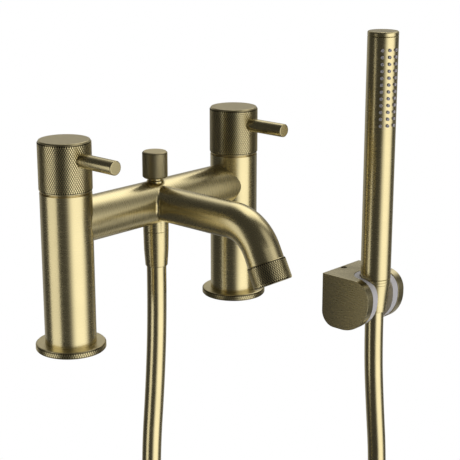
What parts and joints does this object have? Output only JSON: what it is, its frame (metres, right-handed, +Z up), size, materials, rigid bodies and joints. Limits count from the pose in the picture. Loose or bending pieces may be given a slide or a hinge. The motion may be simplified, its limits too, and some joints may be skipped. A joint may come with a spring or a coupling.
{
  "type": "bath shower mixer with wall bracket and handset",
  "caption": "Deck-mounted bath shower mixer with quarter-turn lever handles, a spout, a pull-up diverter, and a hose to a pencil handset held in a wall bracket.",
  "frame": {"origin": "midway between the two tap holes, on the plane of the deck that the base flanges stand on", "axes": "+Z up, +X along the bridge to the right-hand pillar, -Y forward, the way the spout points"},
  "size_m": [0.2981, 0.1608, 0.6193],
  "materials": {
    "brushed_brass": "brushed antique brass, knurled on the handles, flanges, knob and aerator ring",
    "polished_brass": "polished",
    "machined_brass": "machined",
    "brass_hose": "smooth brass-coloured plastic skin",
    "grey_silicone": "matt",
    "grey_plastic": "satin",
    "white_plastic": "satin",
    "black_rubber": "matt",
    "ceramic": "lapped",
    "steel": "plain"
  },
  "bodies": {
    "mixer": {"aerator_insert": "white_plastic", "aerator_ring": "brushed_brass", "aerator_seal": "black_rubber", "bracket_body": "brushed_brass", "bracket_grub_screw": "steel", "bracket_liner": "grey_plastic", "bridge_tube": "brushed_brass", "diverter_bush": "polished_brass", "diverter_cage": "machined_brass", "diverter_spring": "steel", "hose_coil": "brass_hose", "hose_mixer_leg": "brass_hose", "hose_tie": "grey_plastic", "left_base_flange": "brushed_brass", "left_cartridge_body": "machined_brass", "left_cartridge_seal": "black_rubber", "left_check_valve": "white_plastic", "left_deck_seal": "black_rubber", "left_lower_disc": "ceramic", "left_pillar": "brushed_brass", "lower_hose_insert": "machined_brass", "lower_hose_nut": "brushed_brass", "outlet_washer": "black_rubber", "right_base_flange": "brushed_brass", "right_cartridge_body": "machined_brass", "right_cartridge_seal": "black_rubber", "right_check_valve": "white_plastic", "right_deck_seal": "black_rubber", "right_lower_disc": "ceramic", "right_pillar": "brushed_brass", "shower_outlet": "brushed_brass", "spout_tube": "brushed_brass", "wall_plate": "steel"},
    "left_valve": {"left_handle": "brushed_brass", "left_lever": "brushed_brass", "left_handle_screw": "steel", "left_spindle": "machined_brass", "left_upper_disc": "ceramic"},
    "right_valve": {"right_handle": "brushed_brass", "right_lever": "brushed_brass", "right_handle_screw": "steel", "right_spindle": "machined_brass", "right_upper_disc": "ceramic"},
    "diverter": {"diverter_knob": "brushed_brass", "diverter_stem": "machined_brass", "diverter_plunger": "machined_brass", "diverter_lower_seal": "black_rubber", "diverter_upper_seal": "black_rubber"},
    "hose_end": {"hose_handset_leg": "brass_hose", "upper_hose_insert": "machined_brass"},
    "handset": {"handset_body": "brushed_brass", "handset_cap": "brushed_brass", "handset_nozzles": "grey_silicone", "handset_connector": "machined_brass", "handset_washer": "black_rubber", "upper_hose_nut": "brushed_brass"}
  },
  "joints": [
    {"name": "left_valve_turn", "type": "hinge", "parent": "mixer", "child": "left_valve", "pos_m": [-0.09, 0, 0.13], "axis": [0, 0, 1], "range_deg": [-90, 0]},
    {"name": "right_valve_turn", "type": "hinge", "parent": "mixer", "child": "right_valve", "pos_m": [0.09, 0, 0.13], "axis": [0, 0, 1], "range_deg": [0, 90]},
    {"name": "diverter_pull", "type": "slide", "parent": "mixer", "child": "diverter", "axis": [0, 0, 1], "range_m": [0, 0.008], "stiffness_N_per_m": 200, "springref_m": -0.004, "deforming": ["diverter_spring"]},
    {"name": "handset_lift", "type": "slide", "parent": "mixer", "child": "hose_end", "axis": [0, 0, 1], "range_m": [0, 0.045]},
    {"name": "handset_swivel", "type": "hinge", "parent": "hose_end", "child": "handset", "pos_m": [0.1568, -0.0988, 0], "axis": [0, 0, 1], "continuous": true}
  ]
}
